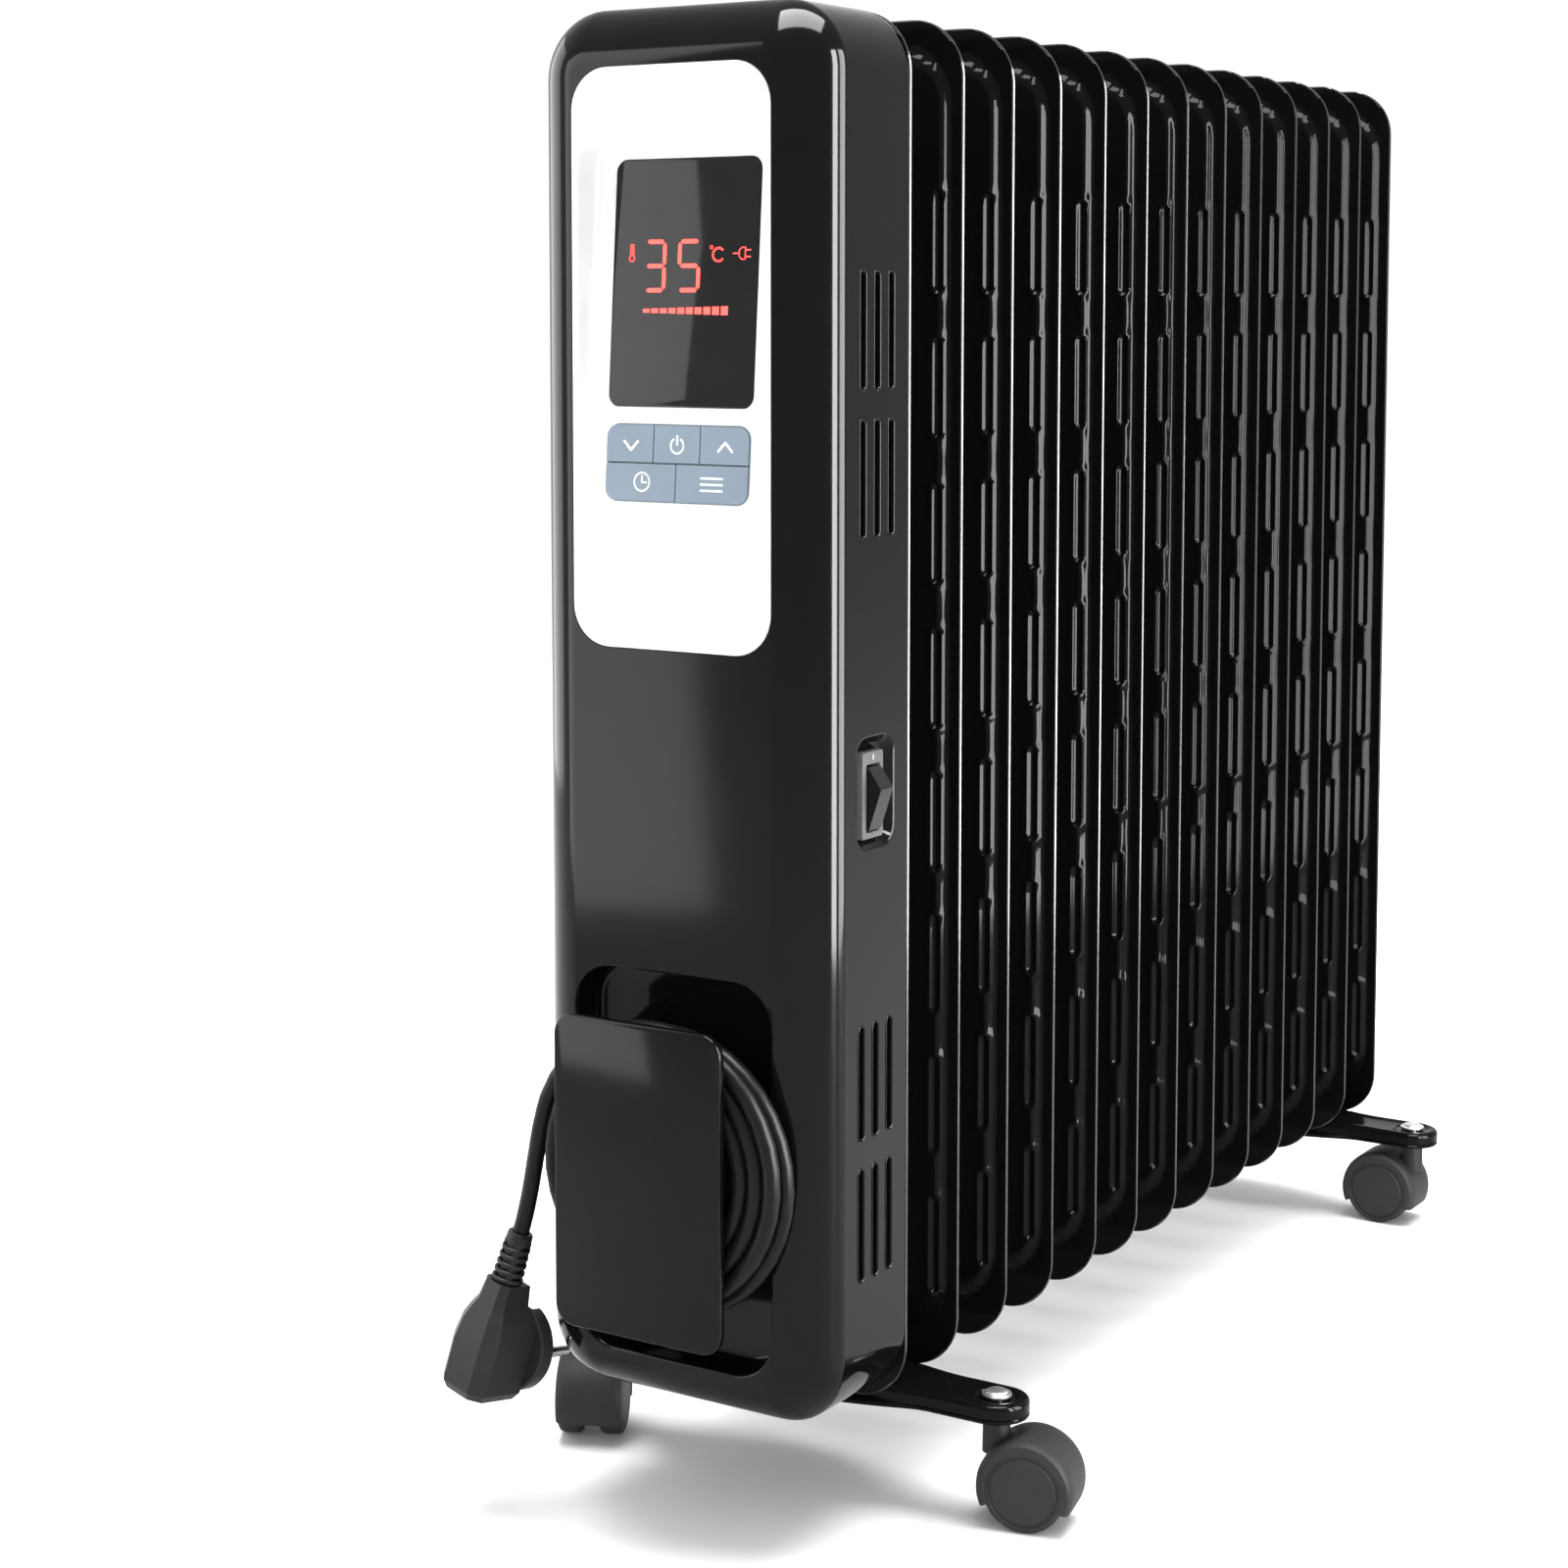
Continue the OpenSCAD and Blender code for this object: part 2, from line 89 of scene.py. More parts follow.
def material(name, colour, rough, metallic=0.0, vary=0.12, vary_scale=60, relief=0.05, relief_scale=400,
             relief_depth=0.0002, specular=0.5, coat=0.0, emission=0.0, rough_vary=0.15, stretch=(1, 1, 1)):
    mat = bpy.data.materials.new(name)
    mat.use_nodes = True
    nodes, links = mat.node_tree.nodes, mat.node_tree.links
    shader = nodes["Principled BSDF"]
    shader.inputs["Metallic"].default_value = metallic
    shader.inputs["Specular IOR Level"].default_value = specular
    shader.inputs["Coat Weight"].default_value = coat
    shader.inputs["Coat Roughness"].default_value = 0.03
    place = nodes.new("ShaderNodeTexCoord")
    mapping = nodes.new("ShaderNodeMapping")
    mapping.inputs["Scale"].default_value = stretch
    links.new(place.outputs["Object"], mapping.inputs["Vector"])

    def noise(scale, detail):
        node = nodes.new("ShaderNodeTexNoise")
        node.inputs["Scale"].default_value = scale
        node.inputs["Detail"].default_value = detail
        links.new(mapping.outputs["Vector"], node.inputs["Vector"])
        return node.outputs["Fac"]

    broad, fine = noise(vary_scale, 4), noise(relief_scale, 2)
    ramp = nodes.new("ShaderNodeValToRGB")
    ramp.color_ramp.elements[0].position, ramp.color_ramp.elements[1].position = 0.3, 0.7
    ramp.color_ramp.elements[0].color = [c * (1 - vary) for c in colour] + [1]
    ramp.color_ramp.elements[1].color = [min(1, c * (1 + vary)) for c in colour] + [1]
    links.new(broad, ramp.inputs["Fac"])
    links.new(ramp.outputs["Color"], shader.inputs["Base Color"])
    span = nodes.new("ShaderNodeMapRange")
    span.inputs["To Min"].default_value = rough * (1 - rough_vary)
    span.inputs["To Max"].default_value = min(1, rough * (1 + rough_vary))
    links.new(broad, span.inputs["Value"])
    links.new(span.outputs["Result"], shader.inputs["Roughness"])
    bump = nodes.new("ShaderNodeBump")
    bump.inputs["Strength"].default_value = relief
    bump.inputs["Distance"].default_value = relief_depth
    links.new(fine, bump.inputs["Height"])
    links.new(bump.outputs["Normal"], shader.inputs["Normal"])
    if emission:
        links.new(ramp.outputs["Color"], shader.inputs["Emission Color"])
        shader.inputs["Emission Strength"].default_value = emission
    return mat


M = {
    "enamel": material("enamel", (0.004, 0.004, 0.004), 0.08, relief=0.05, relief_scale=160, specular=0.035),
    # Painted highlight: the fin seams are the same black enamel as the fins, and this lighter, glossier copy
    # of it makes them read as bright lines.
    "seam": material("seam", (0.02, 0.02, 0.02), 0.16, relief=0.05, relief_scale=300, specular=0.5),
    "housing": material("housing", (0.0035, 0.0035, 0.0035), 0.09, relief=0.01, relief_scale=200,
                        specular=0.09),
    "shield": material("shield", (0.6, 0.6, 0.6), 0.35, metallic=1, stretch=(1, 1, 12)),
    "panel": material("panel", (0.78, 0.78, 0.78), 0.22, vary=0.01, relief=0.03, specular=0.14),
    "display": material("display", (0.0135, 0.0135, 0.014), 0.05, relief=0.004, specular=0.10),
    "board": material("board", (0.02, 0.16, 0.05), 0.5, vary=0.3, vary_scale=300),
    "key": material("key", (0.20, 0.25, 0.31), 0.34, vary=0.03, relief=0.08, relief_scale=1500,
                    specular=0.12),
    "switch_frame": material("switch_frame", (0.13, 0.13, 0.135), 0.42, relief=0.2, relief_scale=1800,
                             specular=0.12),
    "rocker": material("rocker", (0.010, 0.010, 0.010), 0.22, relief=0.1, relief_scale=1500, specular=0.12),
    "cord": material("cord", (0.006, 0.006, 0.006), 0.34, relief=0.2, relief_scale=1400, specular=0.08),
    "plug": material("plug", (0.016, 0.016, 0.016), 0.42, relief=0.35, relief_scale=2200, specular=0.10),
    "pin": material("pin", (0.72, 0.71, 0.69), 0.22, metallic=1, vary=0.05),
    "steel": material("steel", (0.45, 0.45, 0.45), 0.35, metallic=1, stretch=(1, 8, 1)),
    "zinc": material("zinc", (0.66, 0.66, 0.65), 0.30, metallic=1, vary=0.18, vary_scale=350, relief=0.2),
    "bracket": material("bracket", (0.004, 0.004, 0.004), 0.10, relief=0.06, relief_scale=220, specular=0.05),
    "caster": material("caster", (0.030, 0.030, 0.031), 0.5, relief=0.45, relief_scale=2400,
                       vary=0.08, specular=0.06),
    "led": material("led", (1.0, 0.045, 0.03), 0.5, vary=0.02, emission=1.6),
    "ink": material("ink", (0.92, 0.93, 0.94), 0.5, vary=0.02),
    "mark": material("mark", (0.82, 0.82, 0.82), 0.5, vary=0.03),
}


# ---- Mesh helpers: everything is built in millimetres ----

class Parts:
    """Vertices and faces gathered from several shapes, which become one piece."""

    def __init__(self):
        self.verts, self.faces = [], []

    def add(self, verts, faces, place=None):
        base = len(self.verts)
        self.verts += [tuple(place(v)) if place else tuple(v) for v in verts]
        self.faces += [tuple(base + i for i in f) for f in faces]
        return self

    def mesh(self, name):
        data = bpy.data.meshes.new(name)
        data.from_pydata([Vector(v) * MM for v in self.verts], [], self.faces)
        work = bmesh.new()
        work.from_mesh(data)
        bmesh.ops.remove_doubles(work, verts=work.verts, dist=2e-6)
        bmesh.ops.recalc_face_normals(work, faces=work.faces)
        work.to_mesh(data)
        work.free()
        return data


def finish_mesh(data, sharp):
    data.polygons.foreach_set("use_smooth", [True] * len(data.polygons))
    data.set_sharp_from_angle(angle=math.radians(sharp))


def piece(name, data, mat, nodes=(), body="root", sharp=32):
    """A shown object with its material, its body and the CAD nodes that it stands for."""
    finish_mesh(data, sharp)
    obj = bpy.data.objects.new(name, data)
    bpy.context.collection.objects.link(obj)
    if not data.materials:
        data.materials.append(M[mat])
    if nodes:
        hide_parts(*nodes)
    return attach(obj, body) or obj


def loft(loops, start=False, end=False, closed=True):
    n = len(loops[0])
    verts = [p for loop in loops for p in loop]
    faces = [
        (k * n + i, k * n + (i + 1) % n, (k + 1) * n + (i + 1) % n, (k + 1) * n + i)
        for k in range(len(loops) - 1) for i in range(n if closed else n - 1)
    ]
    if start:
        faces.append(tuple(range(n)))
    if end:
        faces.append(tuple((len(loops) - 1) * n + i for i in range(n)))
    return verts, faces


def outline(hw, hh, r, per=8, straight=(1, 1)):
    """A rounded rectangle in (u, v), from half sizes, with its straight runs split up."""
    points = []
    for k, (su, sv) in enumerate(((1, 1), (-1, 1), (-1, -1), (1, -1))):
        arc = [math.radians(90 * (k + i / per)) for i in range(per + 1)]
        points += [(su * (hw - r) + r * math.cos(a), sv * (hh - r) + r * math.sin(a)) for a in arc]
        u, v = points[-1]
        run = 2 * (hw - r) if k % 2 == 0 else 2 * (hh - r)
        du, dv = [(-1, 0), (0, -1), (1, 0), (0, 1)][k]
        parts = straight[k % 2]
        points += [(u + du * run * j / parts, v + dv * run * j / parts) for j in range(1, parts)]
    return points


def standing(points, y, x=0, z=0):
    """An outline's points as (x, y, z), where y may be a function of x and z."""
    return [(x + u, y(x + u, z + v) if callable(y) else y, z + v) for u, v in points]


def slab(hw, hh, r, y0, y1, x=0, z=0, edge=0.0, per=8):
    """A rounded plate across the heater with its front edge, at y0, rounded by edge."""
    steps = [math.radians(90 * i / 4) for i in range(5)] if edge else [0]
    loops = [
        standing(outline(hw - edge * (1 - math.sin(a)), hh - edge * (1 - math.sin(a)),
                         max(0.2, r - edge * (1 - math.sin(a))), per), y0 + edge * (1 - math.cos(a)), x, z)
        for a in steps
    ]
    loops.append(standing(outline(hw, hh, r, per), y1, x, z))
    return loft(loops, start=True, end=True)


def lathe(profile, count=48):
    """Turns a profile of (radius, height) about local Z. A radius of 0 closes the end."""
    loops = [
        [(r * math.cos(2 * math.pi * i / count), r * math.sin(2 * math.pi * i / count), h)
         for i in range(count)]
        for r, h in profile if r > 0
    ]
    return loft(loops, start=profile[0][0] == 0, end=profile[-1][0] == 0)


def along_y(v):
    """Takes local Z to +Y."""
    return (v[0], v[2], -v[1])


def on_face(v):
    """From the display's face, where local -Y comes out of it, to the frame."""
    c, s = math.cos(FACE_TILT), math.sin(FACE_TILT)
    return (v[0], FACE_Y + v[1] * c + v[2] * s, FACE_Z - v[1] * s + v[2] * c)


def smooth(a, b, t):
    t = min(1, max(0, (t - a) / (b - a)))
    return t * t * (3 - 2 * t)


def cut(data, cutter):
    """Takes a closed mesh out of another and returns what is left."""
    body, tool = bpy.data.objects.new("body", data), bpy.data.objects.new("tool", cutter)
    for obj in (body, tool):
        bpy.context.collection.objects.link(obj)
    step = body.modifiers.new("cut", "BOOLEAN")
    step.operation, step.solver, step.object = "DIFFERENCE", "EXACT", tool
    step.use_self = False
    left = bpy.data.meshes.new_from_object(body.evaluated_get(bpy.context.evaluated_depsgraph_get()))
    bpy.data.objects.remove(body)
    bpy.data.objects.remove(tool)
    return left


# ---- Cord: gland, two layers of turns round the winder's post, free end and plug ----

LEAD_ROUTE = [(-30, -272, 84), (-24, -276, 84), (-14, -283, 86), (0, -288, 91), (14, -289.5, 98)]
TAIL_ROUTE = [(-51.8, -297, 170.2), (-54.2, -296.6, 162.3), (-56.6, -295.5, 154.5), (-59.2, -294, 146.6),
              (-61.7, -292.6, 138.8), (-64.2, -291.5, 131), (-66.7, -291, 122.6), (-68.9, -291.7, 114.2),
              (-69.7, -292.2, 110.8)]


def through(route, steps):
    """A smooth curve through a route's points."""
    points = [Vector(p) for p in route]
    made = []
    for k in range(len(points) - 1):
        a, b = points[max(k - 1, 0)], points[k]
        c, d = points[k + 1], points[min(k + 2, len(points) - 1)]
        for i in range(steps):
            t = i / steps
            made.append(0.5 * (2 * b + (c - a) * t + (2 * a - 5 * b + 4 * c - d) * t * t
                               + (3 * b - a - 3 * c + d) * t ** 3))
    return made + [points[-1]]


def coil_points():
    """Two turns inwards at the back, a crossing, and two and a half turns outwards at the front."""
    inner, outer, back, front = 39.3, 57.2, -289.5, -297
    start, turn_in, turn_out, end = -72, 641, 701, 1604
    made = []
    for angle in range(start, end, 10):
        if angle < turn_in:
            r, y = outer + (inner - outer) * (angle - start) / (turn_in - start), back
        elif angle < turn_out:
            r, y = inner, back + (front - back) * smooth(turn_in, turn_out, angle)
        else:
            r, y = inner + (outer - inner) * (angle - turn_out) / (end - turn_out), front
        a = math.radians(angle)
        made.append(Vector((COIL_CENTRE[0] + r * math.cos(a), y, COIL_CENTRE[1] + r * math.sin(a))))
    return made


def make_cord():
    route = through(LEAD_ROUTE, 4) + coil_points() + through(TAIL_ROUTE, 4)
    data = bpy.data.curves.new("mains_cord", "CURVE")
    data.dimensions, data.bevel_depth, data.bevel_resolution = "3D", CORD_D / 2 * MM, 5
    data.use_fill_caps = True
    line = data.splines.new("POLY")
    line.points.add(len(route) - 1)
    for point, p in zip(line.points, route):
        point.co = (*(p * MM), 1)
    data.materials.append(M["cord"])
    obj = bpy.data.objects.new("mains_cord", data)
    bpy.context.collection.objects.link(obj)
    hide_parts("cord_lead", "cord_coil", "cord_tail")
    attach(obj, "root")
    length = sum((b - a).length for a, b in zip(route, route[1:])) * MM
    return obj, route[0] * MM, length


def on_plug(v):
    return PLUG_AT + PLUG_TURN @ Vector(v)


def make_plug():
    body = Parts()
    # The grip is a block with chamfered edges that narrows towards the cord
    grip = [(-20, 8, -6, 9), (-18.8, 10.4, -10, 12.5), (-15.5, 12.1, -12.4, 14), (3, 12.5, -13, 14),
            (12, 11.4, -12, 14), (17, 9.4, -10.4, 12), (21, 7.6, -8.6, 9), (29.5, 6.9, -7.4, 7.4)]
    loops = []
    for z, half, back, front in grip:
        chamfer = half * 0.42
        loops.append([(half, back + chamfer, z), (half, front, z), (-half, front, z),
                      (-half, back + chamfer, z), (-half + chamfer, back, z), (half - chamfer, back, z)])
    body.add(*loft(loops, start=True, end=True), place=on_plug)
    # The front is a round disc with a slot for an earth contact at its top and bottom
    count, disc = 72, []
    for y, r in ((13.5, 17.6), (14.3, 18.5), (20.2, 18.5), (21, 17.8)):
        ring = []
        for i in range(count):
            a = 2 * math.pi * i / count
            notch = abs(math.sin(a)) > math.cos(math.radians(12))
            ring.append(((r - 2.6 * notch) * math.cos(a), y, (r - 2.6 * notch) * math.sin(a)))
        disc.append(ring)
    body.add(*loft(disc, start=True, end=True), place=on_plug)
    piece("plug_moulding", body.mesh("plug_moulding"), "plug", ["plug_body"], sharp=24)
    relief = Parts()
    ribs, rib_pitch, low = 5, 3.2, 30
    profile = [(0, 29), (4.6, 29)]
    for k in range(ribs):
        z, r = low + rib_pitch * k, 6.6 - 0.16 * k
        profile += [(4.6, z), (r - 0.3, z), (r, z + 0.3), (r, z + 1.4), (r - 0.3, z + 1.7), (4.6, z + 1.7)]
    top = low + rib_pitch * ribs
    profile += [(4.6, top), (5.3, top), (5.5, top + 0.4), (5.3, top + 4), (4.9, top + 4.6), (0, top + 4.6)]
    relief.add(*lathe(profile, 40), place=on_plug)
    # Four webs join the ribs
    for k in range(4):
        a = math.radians(45 + 90 * k)
        square = [(4.4 * math.cos(a + d) * s, 4.4 * math.sin(a + d) * s) for d, s in
                  ((-0.25, 1), (-0.25, 1.3), (0.25, 1.3), (0.25, 1))]
        relief.add(*loft([[(u, v, z) for u, v in square] for z in (29.5, top + 1)], start=True, end=True),
                   place=on_plug)
    strain = piece("plug_strain_relief", relief.mesh("plug_strain_relief"), "plug", sharp=35)
    pins = Parts()
    for x in (-9.5, 9.5):
        rod = [(0, 20.9), (2.4, 20.9), (2.4, 38.2), (2.1, 39.2), (1.3, 39.9), (0, 39.9)]
        pins.add(*lathe(rod, 28), place=lambda v, x=x: on_plug((v[0] + x, v[2], -v[1])))
    metal = piece("plug_contacts", pins.mesh("plug_contacts"), "pin", ["plug_pins"])
    return bpy.data.objects["plug_moulding"], strain, metal


cord, cord_exit, cord_length = make_cord()
plug_pieces = make_plug()


def make_gland():
    parts = Parts()
    profile = [(0, 0), (7.4, 0), (7.4, -2.4), (6.2, -3.2), (6, -5), (5.2, -7.4), (4.6, -8), (0, -8)]
    lean = math.radians(32)

    def place(v):
        x, y = v[0] * math.cos(lean) - v[2] * math.sin(lean), v[0] * math.sin(lean) + v[2] * math.cos(lean)
        return (-34 + x, RECESS_FLOOR + 2 + y, 84 + v[1])

    parts.add(*lathe(profile, 36), place=place)
    return piece("cord_entry_relief", parts.mesh("cord_entry_relief"), "plug", ["cord_gland"], sharp=35)


gland = make_gland()
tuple(cord_exit)


# ---- Fins: one pressed shape, which the thirteen fins share ----

DASH_X, DASH_HALF, DASH_COUNT = 60.4, 1.8, 8
DASH_FIRST_Z, DASH_PITCH, DASH_LENGTH = 102, 59.4, 41


def inside(u, v, hw, hh, r):
    """How far a point lies inside a rounded rectangle."""
    a, b = abs(u) - (hw - r), abs(v) - (hh - r)
    return r - math.hypot(max(a, 0), max(b, 0)) - min(max(a, b), 0)


def fin_height(x, z):
    """Half the thickness of a fin at a point of its face."""
    low, high, side = 17, 12, 5.2
    mid = FIN_LOW + (FIN_H + low - high) / 2
    deep = inside(x, z - mid, FIN_W / 2 - side, (FIN_H - low - high) / 2, 22)
    height = 0.8 + 3.7 * smooth(0, 4.2, deep) + 3.9 * smooth(5, 24, deep)
    for k in range(DASH_COUNT):
        centre = DASH_FIRST_Z + DASH_PITCH * k
        along = max(0, abs(z - centre) - (DASH_LENGTH / 2 - DASH_HALF))
        far = math.hypot(abs(x) - DASH_X, along)
        if far < 9:
            height += (0.55 * (1 - smooth(2.2, 6, far))
                       - 1.9 * (1 - smooth(DASH_HALF - 1.2, DASH_HALF + 0.5, far)))
    # A shallow waist between the dashes further in
    height -= 0.9 * smooth(30, 40, abs(x)) * (1 - smooth(47, 54, abs(x))) * (0.5 + 0.5 * math.cos(
        2 * math.pi * (z - DASH_FIRST_Z) / DASH_PITCH)) * smooth(12, 30, deep)
    return height


def fin_columns():
    """Places across a fin, from -1 to 1, close together where the pressing has detail."""
    half = [0, 9, 18, 27, 33, 37, 41, 45, 49, 52, 54.5] + [56 + 0.55 * i for i in range(17)]
    half += [65.4, 66.2, 67.2, 68.4, 69.4, 70]
    return [-c / 70 for c in reversed(half[1:])] + [c / 70 for c in half]


def fin_rows():
    """Heights up a fin, close together round its corners and at the ends of its dashes."""
    arc = [FIN_CORNER * (1 - math.cos(math.radians(90 * i / 12))) for i in range(13)]
    rows = [FIN_LOW + a for a in arc]
    z = rows[-1]
    while z < FIN_LOW + FIN_H - FIN_CORNER - 3.4:
        near = min(abs(abs(z - DASH_FIRST_Z - DASH_PITCH * k) - DASH_LENGTH / 2) for k in range(DASH_COUNT))
        z += 1.1 if near < 4 else 3.4
        rows.append(z)
    return rows + [FIN_LOW + FIN_H - a for a in reversed(arc)]


def fin_mesh():
    columns, rows = fin_columns(), fin_rows()
    top, parts = FIN_LOW + FIN_H, Parts()
    for side in (-1, 1):
        verts = []
        for z in rows:
            end = max(0, FIN_CORNER - min(z - FIN_LOW, top - z))
            half = FIN_W / 2 - FIN_CORNER + math.sqrt(max(0, FIN_CORNER ** 2 - end ** 2))
            for c in columns:
                x = c * half
                edge = inside(x, z - (FIN_LOW + top) / 2, FIN_W / 2, FIN_H / 2, FIN_CORNER)
                verts.append((x, side * fin_height(x, z) * (1 if edge > 0.4 else 0), z))
        n = len(columns)
        faces = [(r * n + c, r * n + c + 1, (r + 1) * n + c + 1, (r + 1) * n + c)
                 for r in range(len(rows) - 1) for c in range(n - 1)]
        parts.add(verts, faces)
    return parts.mesh("fin_pressing")


def make_fins():
    data = fin_mesh()
    collar = Parts()
    half_gap, face = FIN_PITCH / 2, 7.4
    flare = [(22 + 8 * (1 - math.sin(math.radians(90 * i / 8))),
              face + 7 * (1 - math.cos(math.radians(90 * i / 8))))
             for i in range(9)]
    weld = [(22, half_gap - 1.6), (22.7, half_gap - 0.9), (22.9, half_gap), (22.7, half_gap + 0.9)]
    profile = flare + weld + [(22, half_gap + 1.6)] + [(r, FIN_PITCH - h) for r, h in reversed(flare)]
    collar.add(*lathe(profile, 56))
    joint = collar.mesh("fin_collar")
    # The two sheets are welded along a narrow bead round the edge
    bead, bead_r = Parts(), 0.75
    rings = []
    for k in range(9):
        a = math.radians(45 * k)
        out = bead_r * math.cos(a) - bead_r
        ring = outline(FIN_W / 2 + out, FIN_H / 2 + out, FIN_CORNER + out, 12, (1, 6))
        rings.append(standing(ring, bead_r * math.sin(a), 0, FIN_LOW + FIN_H / 2))
    bead.add(*loft(rings))
    seam = bead.mesh("fin_seam")
    for k in range(FIN_COUNT):
        fin = piece(f"fin_shell_{k + 1:02d}", data, "enamel", [f"fin_{k + 1:02d}"])
        fin.location.y = (FIRST_FIN_Y + k * FIN_PITCH) * MM
        # Each seam bead takes the lighter, glossier copy of the enamel, a painted highlight along the fin's
        # edge.
        edge = piece(f"fin_seam_{k + 1:02d}", seam, "seam")
        edge.location.y = fin.location.y
        if k == FIN_COUNT - 1:
            break
        for place, z in zip(("low", "high"), COLLAR_Z):
            ring = piece(f"collar_{place}_{k + 1:02d}", joint, "enamel")
            ring.rotation_euler.x = -math.pi / 2
            ring.location = Vector((0, FIRST_FIN_Y + k * FIN_PITCH, z)) * MM
    plug = Parts()
    plug.add(*lathe([(0, 0), (13, 0), (12, 1.2), (9.5, 1.8), (9, 2.2), (0, 2.2)], 40))
    hexagon = [(6.6 * math.cos(math.radians(60 * i)), 6.6 * math.sin(math.radians(60 * i))) for i in range(6)]
    plug.add(*loft([[(u * s, v * s, h) for u, v in hexagon] for s, h in ((1, 2), (1, 4.2), (0.9, 4.9))],
                   start=True, end=True))
    data = plug.mesh("filler_plug")
    for v in data.vertices:
        x, y, z = v.co
        v.co = (x, z + (FIRST_FIN_Y + 12 * FIN_PITCH + 8) * MM, COLLAR_Z[1] * MM - y)
    piece("filler_plug", data, "steel", ["oil_plug"])


make_fins()


# ---- Housing ----

def crown_y(deep):
    """The housing's front, by how far a point lies inside its outline."""
    u = 1 - min(1, max(0, deep) / CROWN_IN)
    return FRONT_Y + CROWN_DEEP * (1 - (1 - u ** CROWN_POWER) ** (1 / CROWN_POWER))


HOUSING_MID = (HOUSING_Z0 + HOUSING_Z1) / 2
HALF_H = (HOUSING_Z1 - HOUSING_Z0) / 2


def housing_loop(deep, y):
    return standing(outline(HOUSING_W / 2 - deep, HALF_H - deep, HOUSING_CORNER - deep, 10, (6, 24)),
                    y, 0, HOUSING_MID)


def opening_loop(hw, z0, z1, r, y, per=8):
    return standing(outline(hw, (z1 - z0) / 2, r, per), y, 0, (z0 + z1) / 2)


def side_loop(half_y, half_z, r, x, y, z, side=1, per=6):
    """An outline on a side wall, at the given x."""
    return [(side * x, y + u, z + v) for u, v in outline(half_y, half_z, r, per)]


SLOT_Y, SLOT_Z = (-251.8, -241.2, -230.6), (482.4, 425.2, 187.9, 130.9)


def housing_mesh():
    shell, wall = Parts(), 2.6
    outer = [housing_loop(0, BACK_Y + 0.2), housing_loop(0, BACK_Y - 12), housing_loop(0, BACK_Y - 30)]
    steps = 16
    for i in range(steps + 1):
        a = math.radians(90 * i / steps)
        deep = CROWN_IN * (1 - math.cos(a) ** (2 / CROWN_POWER))
        outer.append(housing_loop(deep, crown_y(deep)))
    inner = [housing_loop(CROWN_IN * 0.9 + 0.5, FRONT_Y + wall + 0.5), housing_loop(wall, FRONT_Y + 19),
             housing_loop(wall, BACK_Y + 0.2)]
    front = len(outer)
    verts, faces = loft(outer, end=True)
    shell.add(verts, faces)
    verts, faces = loft(inner, start=True)
    shell.add(verts, faces)
    n = len(outer[0])
    last = front * n + (len(inner) - 1) * n
    shell.faces += [(i, last + i, last + (i + 1) % n, (i + 1) % n) for i in range(n)]
    tool = Parts()
    tool.add(*loft([opening_loop(47, 357, 585, 17, y) for y in (-300, -265)], start=True, end=True))
    tool.add(*loft([opening_loop(47.6, 71.4, 229.6, 18, y) for y in (-300, -262)], start=True, end=True))
    tool.add(*loft([side_loop(14.7, 22.6, 8, x, SWITCH_Y, SWITCH_Z + 1.3) for x in (62, 75)],
                   start=True, end=True))
    for side in (-1, 1):
        for y in SLOT_Y:
            for z in SLOT_Z:
                tool.add(*loft([side_loop(2.2, 22.9, 2.15, x, y, z, side) for x in (64, 75)],
                               start=True, end=True))
    return cut(shell.mesh("housing"), tool.mesh("housing_openings"))


def housing_normal(co):
    """The outward normal of the housing's own form, apart from its openings."""
    x, y, z = co[0] / MM, co[1] / MM, co[2] / MM - HOUSING_MID
    r = HOUSING_CORNER
    a, b = abs(x) - (HOUSING_W / 2 - r), abs(z) - (HALF_H - r)
    if a > 0 and b > 0:
        side = Vector((math.copysign(a, x), 0, math.copysign(b, z))).normalized()
    elif a > b:
        side = Vector((math.copysign(1, x), 0, 0))
    else:
        side = Vector((0, 0, math.copysign(1, z)))
    deep = inside(x, z, HOUSING_W / 2, HALF_H, r)
    if y > FRONT_Y + CROWN_DEEP - 0.01:
        return side
    if deep >= CROWN_IN - 0.05:
        return Vector((0, -1, 0))
    step = 0.02
    slope = (crown_y(deep + step) - crown_y(max(0, deep - step))) / (deep + step - max(0, deep - step))
    return (side * -slope + Vector((0, -1, 0))).normalized()


def true_normals(data, rule):
    """Sets the shading of each face corner by a rule, where the face really follows it."""
    data.polygons.foreach_set("use_smooth", [True] * len(data.polygons))
    data.update()
    normals = []
    for face in data.polygons:
        for k in face.loop_indices:
            want = rule(data.vertices[data.loops[k].vertex_index].co)
            normals.append(want if want.dot(face.normal) > 0.9 else face.normal.copy())
    data.normals_split_custom_set(normals)


